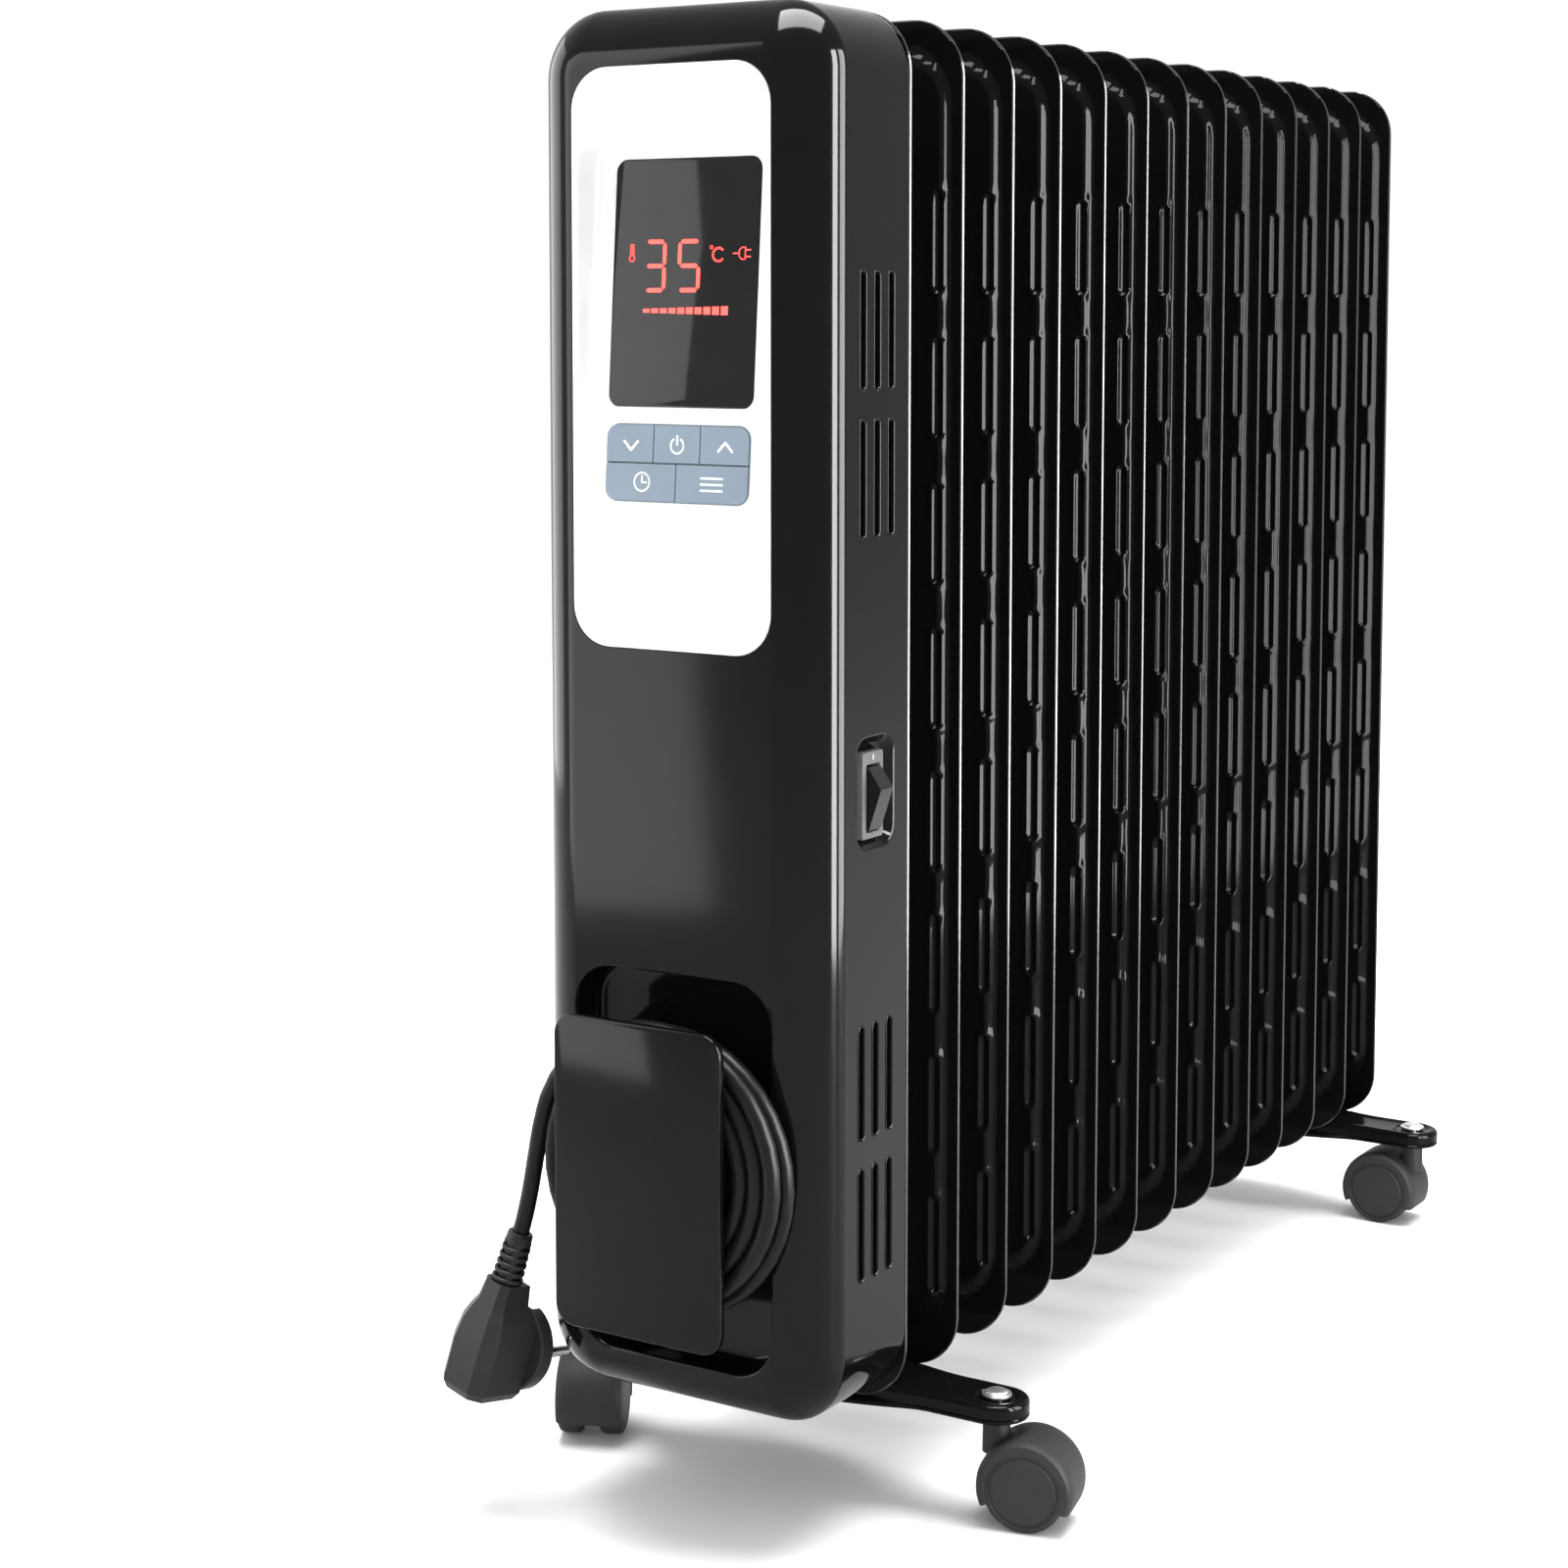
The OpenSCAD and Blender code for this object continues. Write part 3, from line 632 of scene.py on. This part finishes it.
def make_housing():
    data = housing_mesh()
    true_normals(data, housing_normal)
    obj = bpy.data.objects.new("housing_shell", data)
    bpy.context.collection.objects.link(obj)
    data.materials.clear()
    data.materials.append(M["housing"])
    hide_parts("front_housing")
    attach(obj, "root")
    # Rounded lips line the openings
    trims = Parts()
    lip = [(47.6, 18, FRONT_Y + 0.01), (47.1, 17.6, FRONT_Y + 0.15), (46.7, 17.2, FRONT_Y + 0.6),
           (46.5, 17, FRONT_Y + 1.4), (46.3, 16.8, RECESS_FLOOR - 3.2), (45.8, 16.3, RECESS_FLOOR - 1.4),
           (44.6, 15.2, RECESS_FLOOR - 0.4), (43, 13.5, RECESS_FLOOR)]
    loops = []
    for hw, r, y in lip:
        inset = 47.6 - hw
        loops.append(opening_loop(hw, 71.4 + inset, 229.6 - inset, r, y))
    trims.add(*loft(loops, end=True))
    top, foot = HOUSING_W / 2, SWITCH_FLOOR
    dish = [(14.7, 22.6, 8, top), (14.3, 22.2, 7.8, top - 0.08), (13.9, 21.8, 7.4, top - 0.4),
            (11, 19, 5.4, foot + 0.4), (10.5, 18.5, 5, foot)]
    trims.add(*loft([side_loop(y, z, r, x, SWITCH_Y, SWITCH_Z + 1.3) for y, z, r, x in dish], end=True))
    for side in (-1, 1):
        for y in SLOT_Y:
            for z in SLOT_Z:
                rim = [(2.8, 23.5, top - 0.02), (2.7, 23.4, top + 0.24), (2.5, 23.2, top + 0.36),
                       (2.25, 22.95, top + 0.3), (2.0, 22.7, top + 0.08), (1.86, 22.56, top - 0.2),
                       (1.8, 22.5, top - 0.45), (1.8, 22.5, top - 3)]
                trims.add(*loft([side_loop(hy, hz, hy - 0.05, x, y, z, side) for hy, hz, x in rim]))
    piece("housing_lips", trims.mesh("housing_lips"), "housing", sharp=50)


make_housing()


# ---- Control panel: a sloping white face behind a rim, with a vented ledge at its top ----

PANEL_MID = (357.3 + 584.8) / 2


def face_y(z):
    return FACE_Y + (z - FACE_Z) * math.tan(FACE_TILT)


def rim_y(z):
    return FRONT_Y - 0.3 + 3.2 * smooth(566, 580, z)


def panel_loop(hw, z0, z1, r, depth):
    """A loop of the panel: depth 0 lies on the rim, and 1 on the sloping face."""
    def y(x, z):
        return rim_y(z) + (face_y(z) - rim_y(z)) * depth
    return standing(outline(hw, (z1 - z0) / 2, r, 10, (8, 16)), y, 0, (z0 + z1) / 2)


def make_panel():
    z0, z1 = 357.3, 584.8
    front = lambda y: (lambda x, z: y)
    loops = [
        standing(outline(46.7, (z1 - z0) / 2, 16.7, 10, (8, 16)), front(FRONT_Y + 14), 0, PANEL_MID),
        standing(outline(46.7, (z1 - z0) / 2, 16.7, 10, (8, 16)), front(FRONT_Y + 0.3), 0, PANEL_MID),
        standing(outline(46.4, (z1 - z0) / 2 - 0.3, 16.4, 10, (8, 16)), front(FRONT_Y - 0.2), 0, PANEL_MID),
        panel_loop(45.7, z0 + 1, z1 - 1.0, 15.8, 0),
        panel_loop(45.2, z0 + 1.6, z1 - 7.6, 15.4, 0),
        panel_loop(44.3, z0 + 3.2, z1 - 17.6, 14.4, 0),
        panel_loop(43.9, z0 + 3.7, z1 - 18.2, 14, 0.05),
        panel_loop(43.2, z0 + 4.2, z1 - 21.6, 13.4, 0.82),
        panel_loop(42.2, z0 + 5, z1 - 22.6, 12.6, 0.92),
        panel_loop(40.2, z0 + 6.6, z1 - 24.2, 11, 0.975),
        panel_loop(37.4, z0 + 8.6, z1 - 26.6, 9, 1),
    ]
    outer = Parts()
    verts, faces = loft(loops, end=True)
    outer.add(verts, faces)
    back = standing(outline(46.7, (z1 - z0) / 2, 16.7, 10, (8, 16)), FRONT_Y + 17.3, 0, PANEL_MID)
    n = len(back)
    base = len(outer.verts)
    outer.verts += back
    outer.faces += [(base + i, base + (i + 1) % n, (i + 1) % n, i) for i in range(n)]
    outer.faces.append(tuple(base + i for i in range(n)))
    tool = Parts()
    for hw, low, high, r, deep in ((34.4, -12.8, 84.6, 5, 2.6), (33.8, -50.1, -19.5, 5.3, 5)):
        loops = [standing(outline(hw, (high - low) / 2, r, 6), y, 0, (low + high) / 2) for y in (-3, deep)]
        tool.add(*loft(loops, start=True, end=True), place=on_face)
    data = cut(outer.mesh("panel"), tool.mesh("panel_openings"))
    data.materials.clear()
    piece("panel_fascia", data, "panel", ["control_panel"], sharp=38)
    ribs = Parts()
    count, first, pitch, lean = 17, -33, 4.4, 5
    for k in range(count):
        x = first + k * pitch
        top, foot = (-278.6, 567.4), (-268.2, 563.4)
        bar = [[(x + dx - lean * t, top[0] + (foot[0] - top[0]) * t - up,
                 top[1] + (foot[1] - top[1]) * t - up)
                for dx, up in ((0, -0.3), (0.3, 0.45), (1.3, 0.45), (1.6, -0.3))] for t in (0, 0.5, 1)]
        ribs.add(*loft(bar, start=True, end=True))
    piece("vent_ribs", ribs.mesh("vent_ribs"), "panel", sharp=30)


make_panel()


# ---- Display and keys ----

def flat_shape(parts, ring, y, thick, place):
    """A flat shape with a (u, v) outline that stands thick in front of y."""
    faces = [[(u, d, v) for u, v in ring] for d in (y, y - thick)]
    parts.add(*loft(faces, start=True, end=True), place=place)


def stroke(parts, points, width, y, thick=0.12, place=on_face, joint=12):
    """A flat line through (u, v) points that stands thick in front of y."""
    h = width / 2
    for (u0, v0), (u1, v1) in zip(points, points[1:]):
        run = math.hypot(u1 - u0, v1 - v0) or 1
        nu, nv = -(v1 - v0) / run * h, (u1 - u0) / run * h
        ring = [(u0 + nu, v0 + nv), (u1 + nu, v1 + nv), (u1 - nu, v1 - nv), (u0 - nu, v0 - nv)]
        flat_shape(parts, ring, y, thick, place)
    for u, v in points:
        ring = [(u + h * math.cos(2 * math.pi * i / joint), v + h * math.sin(2 * math.pi * i / joint))
                for i in range(joint)]
        flat_shape(parts, ring, y, thick, place)


def arc(u, v, r, a0, a1, count=18):
    return [(u + r * math.cos(math.radians(a0 + (a1 - a0) * i / count)),
             v + r * math.sin(math.radians(a0 + (a1 - a0) * i / count))) for i in range(count + 1)]


def segment(parts, u0, v0, u1, v1, half, y):
    """One bar of a digit, with pointed ends."""
    run = math.hypot(u1 - u0, v1 - v0)
    du, dv = (u1 - u0) / run, (v1 - v0) / run
    nu, nv = -dv * half, du * half
    ring = [(u0, v0), (u0 + du * half + nu, v0 + dv * half + nv), (u1 - du * half + nu, v1 - dv * half + nv),
            (u1, v1), (u1 - du * half - nu, v1 - dv * half - nv), (u0 + du * half - nu, v0 + dv * half - nv)]
    flat_shape(parts, ring, y, 0.1, on_face)


def digit(parts, u, v, w, h, lit, y):
    """A seven-segment digit by its lower left corner."""
    gap, m = 0.35, v + h / 2
    bars = {
        "a": (u + gap, v + h, u + w - gap, v + h), "g": (u + gap, m, u + w - gap, m),
        "d": (u + gap, v, u + w - gap, v), "f": (u, m + gap, u, v + h - gap),
        "b": (u + w, m + gap, u + w, v + h - gap),
        "e": (u, v + gap, u, m - gap), "c": (u + w, v + gap, u + w, m - gap),
    }
    for name in lit:
        segment(parts, *bars[name], 0.85, y)


def make_display():
    glass = Parts()
    shape = slab(34.2, 48.5, 4.8, -0.4, 1.2, 0, 35.9, edge=0.35, per=10)
    glass.add(*shape, place=on_face)
    piece("display_glass", glass.mesh("display_glass"), "display", ["display_window"], sharp=40)
    lit, y = Parts(), -0.4
    digit(lit, -18.2, 33, 8.6, 19, "abgcd", y)
    digit(lit, -2.4, 33, 9, 19, "afgcd", y)
    stroke(lit, arc(15.8, 46.7, 2.6, 45, 315), 0.8, y)
    stroke(lit, arc(12.4, 49.6, 0.6, 0, 360, 12), 0.35, y)
    stroke(lit, [(-25.2, 50.6), (-25.2, 47)], 0.5, y)
    stroke(lit, arc(-25.2, 45.6, 1.2, 0, 360), 0.5, y)
    stroke(lit, [(-26, 46.6), (-26, 51), (-24.4, 51), (-24.4, 46.6)], 0.3, y)
    stroke(lit, [(22.7, 47.1), (25, 47.1)], 0.5, y)
    stroke(lit, [(28.2, 49.4), (26.6, 49.4), (25.4, 48.3), (25.4, 45.9), (26.6, 44.8), (28.2, 44.8),
                 (28.2, 49.4)], 0.4, y)
    for v in (48.4, 45.8):
        stroke(lit, [(28.4, v), (30.6, v)], 0.5, y)
    bars, first, pitch = 10, -19, 4.1
    for k in range(bars):
        tall = 1.5 + 1.9 * k / (bars - 1)
        u = first + k * pitch
        ring = [(u, 25 - tall / 2), (u + 3.2, 25 - tall / 2), (u + 3.2, 25 + tall / 2), (u, 25 + tall / 2)]
        flat_shape(lit, ring, y, 0.1, on_face)
    piece("display_segments", lit.mesh("display_segments"), "led")


def make_keys():
    y = -1.2
    symbols = {
        "key_down": [([(-25, -26.4), (-21.8, -29.8), (-18.6, -26.4)], 1.0)],
        "key_power": [(arc(0.2, -27.7, 3.0, 125, 415), 0.9), ([(0.2, -27.2), (0.2, -23.9)], 0.9)],
        "key_up": [([(19.6, -29.4), (22.8, -26), (26, -29.4)], 1.0)],
        "key_timer": [(arc(-16, -42.2, 3.6, 0, 360, 28), 0.8),
                      ([(-16, -39.9), (-16, -42.4), (-13.9, -42.4)], 0.7)],
        "key_mode": [([(12, v), (22, v)], 0.8) for v in (-40, -42.4, -44.8)],
    }
    for name, lines in symbols.items():
        marks = Parts()
        for points, width in lines:
            stroke(marks, points, width, y + 0.05, thick=0.1)
        piece(f"symbol_{name[4:]}", marks.mesh(f"symbol_{name[4:]}"), "ink", body=name)
        key = frame["nodes"][name]
        edge = key.modifiers.new("edge", "BEVEL")
        edge.width, edge.segments, edge.limit_method, edge.angle_limit = 0.0005, 3, "ANGLE", math.radians(40)


make_display()
make_keys()


# ---- Mains switch ----

def make_switch():
    bezel = Parts()
    steps = [(17.2, 7.85, 1.2, SWITCH_FLOOR), (17.2, 7.85, 1.2, SWITCH_FLOOR + 3),
             (17, 7.65, 1.1, SWITCH_FLOOR + 3.4), (16.6, 7.25, 0.9, SWITCH_FLOOR + 3.5)]
    middle = ROCKER_Z - SWITCH_Z
    hole = [(13.5, 5.1, 0.6, SWITCH_FLOOR + 3.5), (13.3, 4.9, 0.5, SWITCH_FLOOR + 3.2),
            (13.3, 4.9, 0.5, SWITCH_FLOOR - 6)]
    loops = [side_loop(y, z, r, x, SWITCH_Y, SWITCH_Z) for z, y, r, x in steps]
    loops += [side_loop(y, z, r, x, SWITCH_Y, SWITCH_Z + middle) for z, y, r, x in hole]
    bezel.add(*loft(loops, end=True))
    piece("switch_bezel", bezel.mesh("switch_bezel"), "switch_frame", ["switch_body"], sharp=35)
    marks = Parts()

    def on_bezel(v):
        return (SWITCH_FLOOR + 3.5 - v[1], SWITCH_Y + v[0], SWITCH_Z + v[2])

    stroke(marks, [(0, 14.2), (0, 15.6)], 0.8, 0, 0.08, on_bezel)
    stroke(marks, arc(0, -15.6, 0.8, 0, 360, 16), 0.45, 0, 0.08, on_bezel)
    piece("switch_marks", marks.mesh("switch_marks"), "mark")
    rocker = Parts()
    side = [(2.7, 12.4), (3.6, 11.6), (8.4, 4.9), (8.9, 4.1), (8.6, 3.1), (3.5, -12.0), (3.0, -12.7),
            (-2, -11.4), (-3, 0), (-2, 11.4)]
    mid_u = 2.5
    loops = []
    for half, shrink in ((4.4, 0.35), (4.6, 0.0), (-4.6, 0.0), (-4.4, 0.35)):
        loops.append([(ROCKER_X + mid_u + (u - mid_u) * (1 - shrink / 8), SWITCH_Y + half,
                       ROCKER_Z + v * (1 - shrink / 12)) for u, v in side])
    rocker.add(*loft(loops, start=True, end=True))
    piece("rocker_cap", rocker.mesh("rocker_cap"), "rocker", ["switch_rocker"], body="rocker", sharp=28)


# ---- Cord winder ----

def make_winder():
    parts = Parts()
    y0, y1 = WINDER_FRONT, WINDER_FRONT + 3.5
    edge = [(0.9, y0), (0.35, y0 + 0.12), (0.1, y0 + 0.4), (0, y0 + 1), (0, y1 - 0.6),
            (0.2, y1 - 0.15), (0.7, y1)]
    loops = [standing(outline(39.5 - d, 63 - d, 9 - d, 10), y, 0, 151) for d, y in edge]
    parts.add(*loft(loops, start=True, end=True))
    post = [(34, y1 - 0.2), (31.5, y1 + 0.8), (30.3, y1 + 2.6), (30, y1 + 5), (30, RECESS_FLOOR - 4),
            (30.6, RECESS_FLOOR - 1.6), (32, RECESS_FLOOR - 0.2)]
    parts.add(*lathe(post, 72), place=lambda v: (v[0], v[2], COIL_CENTRE[1] + v[1]))
    piece("winder_plate_and_post", parts.mesh("winder_plate_and_post"), "housing", ["cord_winder"], sharp=40)


# ---- Cross brackets ----

def bracket_outline(grow, count=40):
    """The raised arm's outline from above: round tips, and a wider middle."""
    tip, r = 100, 13.5 + grow
    points = [(tip + r * math.cos(math.radians(a)), r * math.sin(math.radians(a)))
              for a in range(-84, 91, 12)]
    side = [(tip - 2 * tip * i / count, 0) for i in range(1, count)]
    widen = lambda x: r + 3.5 * (1 - smooth(48, 78, abs(x)))
    points += [(x, widen(x)) for x, _ in side]
    points += [(-tip + r * math.cos(math.radians(a)), r * math.sin(math.radians(a)))
               for a in range(90, 271, 12)]
    points += [(-x, -widen(x)) for x, _ in side]
    return points


def leaf_outline(grow, count=40):
    """The lower flange, as wide as the arm at the tips and wider in the middle."""
    arm = bracket_outline(grow, count)
    made = []
    for x, y in arm:
        wide = math.sqrt(max(0, 178 ** 2 - x ** 2)) - 150 + grow
        made.append((x, math.copysign(max(abs(y), wide), y) if abs(x) < 92 and abs(y) > 1 else y))
    return made


def make_bracket(name, y_mid, node):
    parts = Parts()
    top, foot = 51.0, 43.1
    rows = [(leaf_outline(-1.6), foot + 0.3), (leaf_outline(-0.5), foot), (leaf_outline(-0.1), foot + 0.5),
            (leaf_outline(-0.1), foot + 1.3), (leaf_outline(-0.6), foot + 1.9)]
    rows += [(bracket_outline(-0.05), foot + 2.1), (bracket_outline(-0.1), foot + 3)]
    rows += [(bracket_outline(-2.4 * (1 - math.cos(math.radians(a)))),
              top - 2.4 * (1 - math.sin(math.radians(a))))
             for a in range(0, 91, 18)]
    rows += [(bracket_outline(-4.2), top - 0.05), (bracket_outline(-5.0), top - 0.7),
             (bracket_outline(-6.2), top - 0.8)]
    loops = [[(x, y_mid + y, z) for x, y in ring] for ring, z in rows]
    parts.add(*loft(loops))
    # The flat top is filled between its two long sides
    last = len(parts.verts) - len(loops[0])
    n = len(loops[0])
    parts.faces.append(tuple(last + i for i in range(n)))
    # The underside, a sheet's thickness lower
    under = [[(x, y_mid + y, z) for x, y in ring] for ring, z in
             ((leaf_outline(-1.6), foot + 0.3), (bracket_outline(-2.2), foot + 0.6),
              (bracket_outline(-2.4), top - 2.4))]
    parts.add(*loft(under, end=True))
    # A pressed arc round each end of the fin's foot, and a ring round each stud
    for side in (-1, 1):
        for r, half, cx in ((46, 0.9, 0), (9.4, 0.7, side * 100)):
            span = range(-16, 17, 4) if cx == 0 else range(0, 360, 12)
            rings = []
            for a in span:
                c, s = side * math.cos(math.radians(a)), math.sin(math.radians(a))
                rings.append([(cx + (r + half * math.cos(b)) * c, y_mid + (r + half * math.cos(b)) * s,
                               top - 0.75 + 0.55 * math.sin(b)) for b in [math.pi * j / 4 for j in range(8)]])
            if cx:
                rings.append(rings[0])
            parts.add(*loft(rings, start=cx == 0, end=cx == 0))
    piece(name, parts.mesh(name), "bracket", [node], sharp=38)


# ---- Casters, built about their swivel axis and trailing along +X ----

def hood_profile():
    """Half of the hood's section from the web outwards: (distance along the axle, radius)."""
    return [(0, 20.3), (7, 20.3), (10.5, 20.2), (12.6, 19.7), (13.9, 18.8), (14.4, 17.4), (14.45, 16),
            (14.3, 15.4), (13.8, 15.6), (13.7, 17.2), (13.2, 18.1), (12, 18.6), (3, 18.6), (3, 6), (3, 3.2)]


def make_caster(name, at_x, at_y, turn):
    turn = math.radians(turn)

    def at(v):
        return (at_x + v[0] * math.cos(turn) - v[1] * math.sin(turn),
                at_y + v[0] * math.sin(turn) + v[1] * math.cos(turn), v[2])

    def at_axle(v):
        return at((v[0] + CASTER_TRAIL, v[1], v[2] + WHEEL_R))

    hood = Parts()
    half = hood_profile()
    section = half + [(-w, r) for w, r in reversed(half[1:])]
    low, high = -24, 204
    rings = []
    for i in range(49):
        a = math.radians(low + (high - low) * i / 48)
        rings.append([(r * math.cos(a), w, r * math.sin(a)) for w, r in section])
    hood.add(*loft(rings, start=True, end=True), place=at_axle)
    socket = [(0, 28), (5.9, 28), (5.75, 34), (5.6, 41.4), (5.2, 42.2), (4.6, 42.45), (3.3, 42.45),
              (3.2, 40), (0, 40)]
    hood.add(*lathe(socket, 40), place=at)
    # A web runs from the hood's crown to the socket on each side
    fillet = []
    for t in [i / 8 for i in range(9)]:
        x, reach = -2.5 + 9.5 * t, 5.2 * (1 - t) ** 1.6
        rim = math.sqrt(max(0, 20.2 ** 2 - (x - CASTER_TRAIL) ** 2)) + WHEEL_R
        fillet.append([(x, -3.4, rim - 1), (x, -2.2, rim + reach), (x, 2.2, rim + reach), (x, 3.4, rim - 1)])
    hood.add(*loft(fillet, start=True, end=True), place=at)
    piece(f"hood_shell_{name}", hood.mesh(f"hood_shell_{name}"), "caster", [f"hood_{name}"],
          f"caster_{name}", 34)
    axle = Parts()
    axle.add(*lathe([(0, -12.9), (2.1, -12.9), (2.5, -12.5), (2.5, 12.5), (2.1, 12.9), (0, 12.9)], 28),
             place=lambda v: at_axle(along_y(v)))
    piece(f"axle_pin_{name}", axle.mesh(f"axle_pin_{name}"), "zinc", [f"axle_{name}"], f"caster_{name}")
    stem = Parts()
    stem.add(*lathe([(0, 32.2), (2.6, 32.2), (3, 32.7), (3, 51), (6, 51), (6.15, 51.3), (6.1, 51.9),
                     (5.2, 52.3), (4.5, 52.5), (4.4, 52.9), (3.9, 53.2), (2.2, 53.35), (0, 53.38)], 40),
             place=at)
    piece(f"stud_{name}", stem.mesh(f"stud_{name}"), "zinc", [f"stem_{name}"])
    tread = [(2.6, 3.5), (9, 3.5), (9.4, 4.2), (15.4, 4.2), (16.4, 4.4), (17.1, 5.2), (17.25, 6.4),
             (17.25, 11.4), (17.1, 12.6), (16.6, 13.5), (15.8, 14.0), (14.9, 14.15), (14.6, 13.7),
             (14.1, 13.55), (13.6, 13.8), (13.2, 14.2), (8.2, 14.3), (4.4, 14.3), (0, 14.3)]
    for side, letter in ((-1, "a"), (1, "b")):
        wheel = Parts()
        wheel.add(*lathe(tread, 72), place=lambda v, side=side: at_axle((v[0], v[2] * side, v[1])))
        piece(f"wheel_{letter}_tyre_{name}", wheel.mesh(f"wheel_{letter}_{name}"), "caster",
              [f"wheel_{letter}_{name}"], f"wheel_{letter}_{name}", 30)


make_switch()
make_winder()
make_bracket("cross_bracket_front", BRACKET_Y[0], "bracket_front")
make_bracket("cross_bracket_rear", BRACKET_Y[1], "bracket_rear")
for caster, place in CASTERS.items():
    make_caster(caster, *place)

# The CAD nodes that still show take the material of their slot
slots = {part["node"]: part["material_slot"] for part in frame["record"]["subparts"]}
for name, node in frame["nodes"].items():
    if not node.hide_render:
        node.data.materials.clear()
        node.data.materials.append(M[slots[name]])


# ---- Floor, backdrop and lights ----

def make_stage():
    data = bpy.data.meshes.new("floor")
    reach = 8
    data.from_pydata([(-reach, -reach, 0), (reach, -reach, 0), (reach, reach, 0), (-reach, reach, 0)],
                     [], [(0, 1, 2, 3)])
    floor = bpy.data.objects.new("floor", data)
    bpy.context.collection.objects.link(floor)
    floor.data.materials.append(material("floor", (0.97, 0.97, 0.97), 0.6, vary=0.01, relief=0, specular=0.1))


def soft_light(name, place, target, size, radiance, seen_in="both", roll=0.0):
    """A flat soft box with the same brightness whatever its size."""
    data = bpy.data.lights.new(name, "AREA")
    data.shape, (data.size, data.size_y) = "RECTANGLE", size
    data.energy = radiance * math.pi * size[0] * size[1]
    light = bpy.data.objects.new(name, data)
    bpy.context.collection.objects.link(light)
    light.location = place
    light.visible_camera = False
    light.visible_diffuse = seen_in != "gloss"
    light.visible_glossy = seen_in != "fill"
    aim = (Vector(target) - Vector(place)).to_track_quat("-Z", "Y")
    light.rotation_euler = (aim.to_matrix() @ Euler((0, 0, roll)).to_matrix()).to_euler()


def make_lights():
    """A white room. The glossy-only lights draw the bright lines on the black edges."""
    world = bpy.data.worlds.new("studio")
    world.use_nodes = True
    world.node_tree.nodes["Background"].inputs["Color"].default_value = (1, 1, 1, 1)
    world.node_tree.nodes["Background"].inputs["Strength"].default_value = 1.06
    bpy.context.scene.world = world
    soft_light("overhead", (0.1, 0.1, 2.6), (0, 0.05, 0.3), (1.6, 2.2), 12, "fill")
    soft_light("top_gloss", (0.2, -0.5, 2.4), (0, 0.05, 0.5), (1.8, 1.2), 45, "gloss")
    soft_light("fillet_gloss", (1.1, -0.38, 0.56), (0, -0.38, 0.56), (0.22, 1.1), 85, "gloss")
    soft_light("seam_gloss", (1.1, 0.12, 0.56), (0, 0.12, 0.56), (0.5, 1.1), 45, "gloss")
    soft_light("left_gloss", (-1.6, -0.05, 0.7), (0, -0.05, 0.7), (1.0, 1.3), 3.5, "gloss")
    soft_light("left_card", (-0.98, -0.95, 0.62), (-0.98, 0.5, 0.62), (1.0, 1.15), 7.4, "gloss",
               math.radians(5))


make_stage()
make_lights()
bpy.context.scene.view_settings.view_transform = "Standard"
